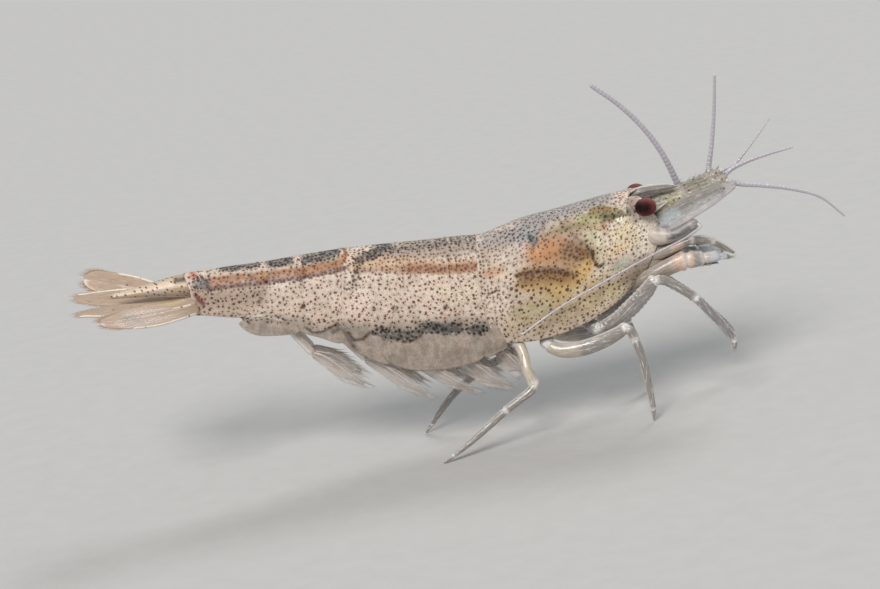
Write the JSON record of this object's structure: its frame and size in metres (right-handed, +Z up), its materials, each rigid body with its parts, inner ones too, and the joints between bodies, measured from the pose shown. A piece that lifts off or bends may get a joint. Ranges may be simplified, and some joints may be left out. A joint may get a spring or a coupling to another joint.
{
  "type": "aquarium shrimp",
  "caption": "Life-size model of a freshwater algae-eating shrimp, standing with its front walking legs lifted, feelers raised and tail fan spread.",
  "frame": {"origin": "middle of the bounding box, at the level of the standing feet", "axes": "+X toward the head along the body, +Y the animal's left, +Z up"},
  "size_m": [0.0514, 0.0096, 0.022],
  "materials": {
    "shell": "milky half-clear shell with fine dark dots",
    "limb": "glassy grey limb shell",
    "fin": "clear fin plate with white edges",
    "swimmeret": "clear grey swimming leg",
    "feeler": "lilac-grey ringed feeler",
    "eye": "maroon-black glossy eye"
  },
  "bodies": {
    "root": {"carapace": "shell", "abdomen_1": "shell", "abdomen_2": "shell", "abdomen_3": "shell", "abdomen_4": "shell", "abdomen_5": "shell", "abdomen_6": "shell", "telson": "fin", "mouthparts": "limb", "eye_right": "eye", "antennule_right": "limb", "antenna_right": "limb", "antenna_scale_right": "fin", "maxilliped_3_right": "limb", "cheliped_1_right": "limb", "cheliped_2_right": "limb", "eye_left": "eye", "antennule_left": "limb", "antenna_left": "limb", "antenna_scale_left": "fin", "maxilliped_3_left": "limb", "cheliped_1_left": "limb", "cheliped_2_left": "limb", "antenna_flagellum_right": "feeler", "antenna_flagellum_left": "feeler", "antennule_inner_right": "feeler", "antennule_outer_right": "feeler", "antennule_inner_left": "feeler", "antennule_outer_left": "feeler", "leg_3_right": "limb", "leg_3_left": "limb", "leg_4_right": "limb", "leg_4_left": "limb", "leg_5_right": "limb", "leg_5_left": "limb", "swimmeret_1_right": "swimmeret", "swimmeret_2_right": "swimmeret", "swimmeret_3_right": "swimmeret", "swimmeret_4_right": "swimmeret", "swimmeret_5_right": "swimmeret", "swimmeret_1_left": "swimmeret", "swimmeret_2_left": "swimmeret", "swimmeret_3_left": "swimmeret", "swimmeret_4_left": "swimmeret", "swimmeret_5_left": "swimmeret", "uropod_right_inner": "fin", "uropod_right_outer": "fin", "uropod_left_inner": "fin", "uropod_left_outer": "fin"}
  },
  "joints": []
}
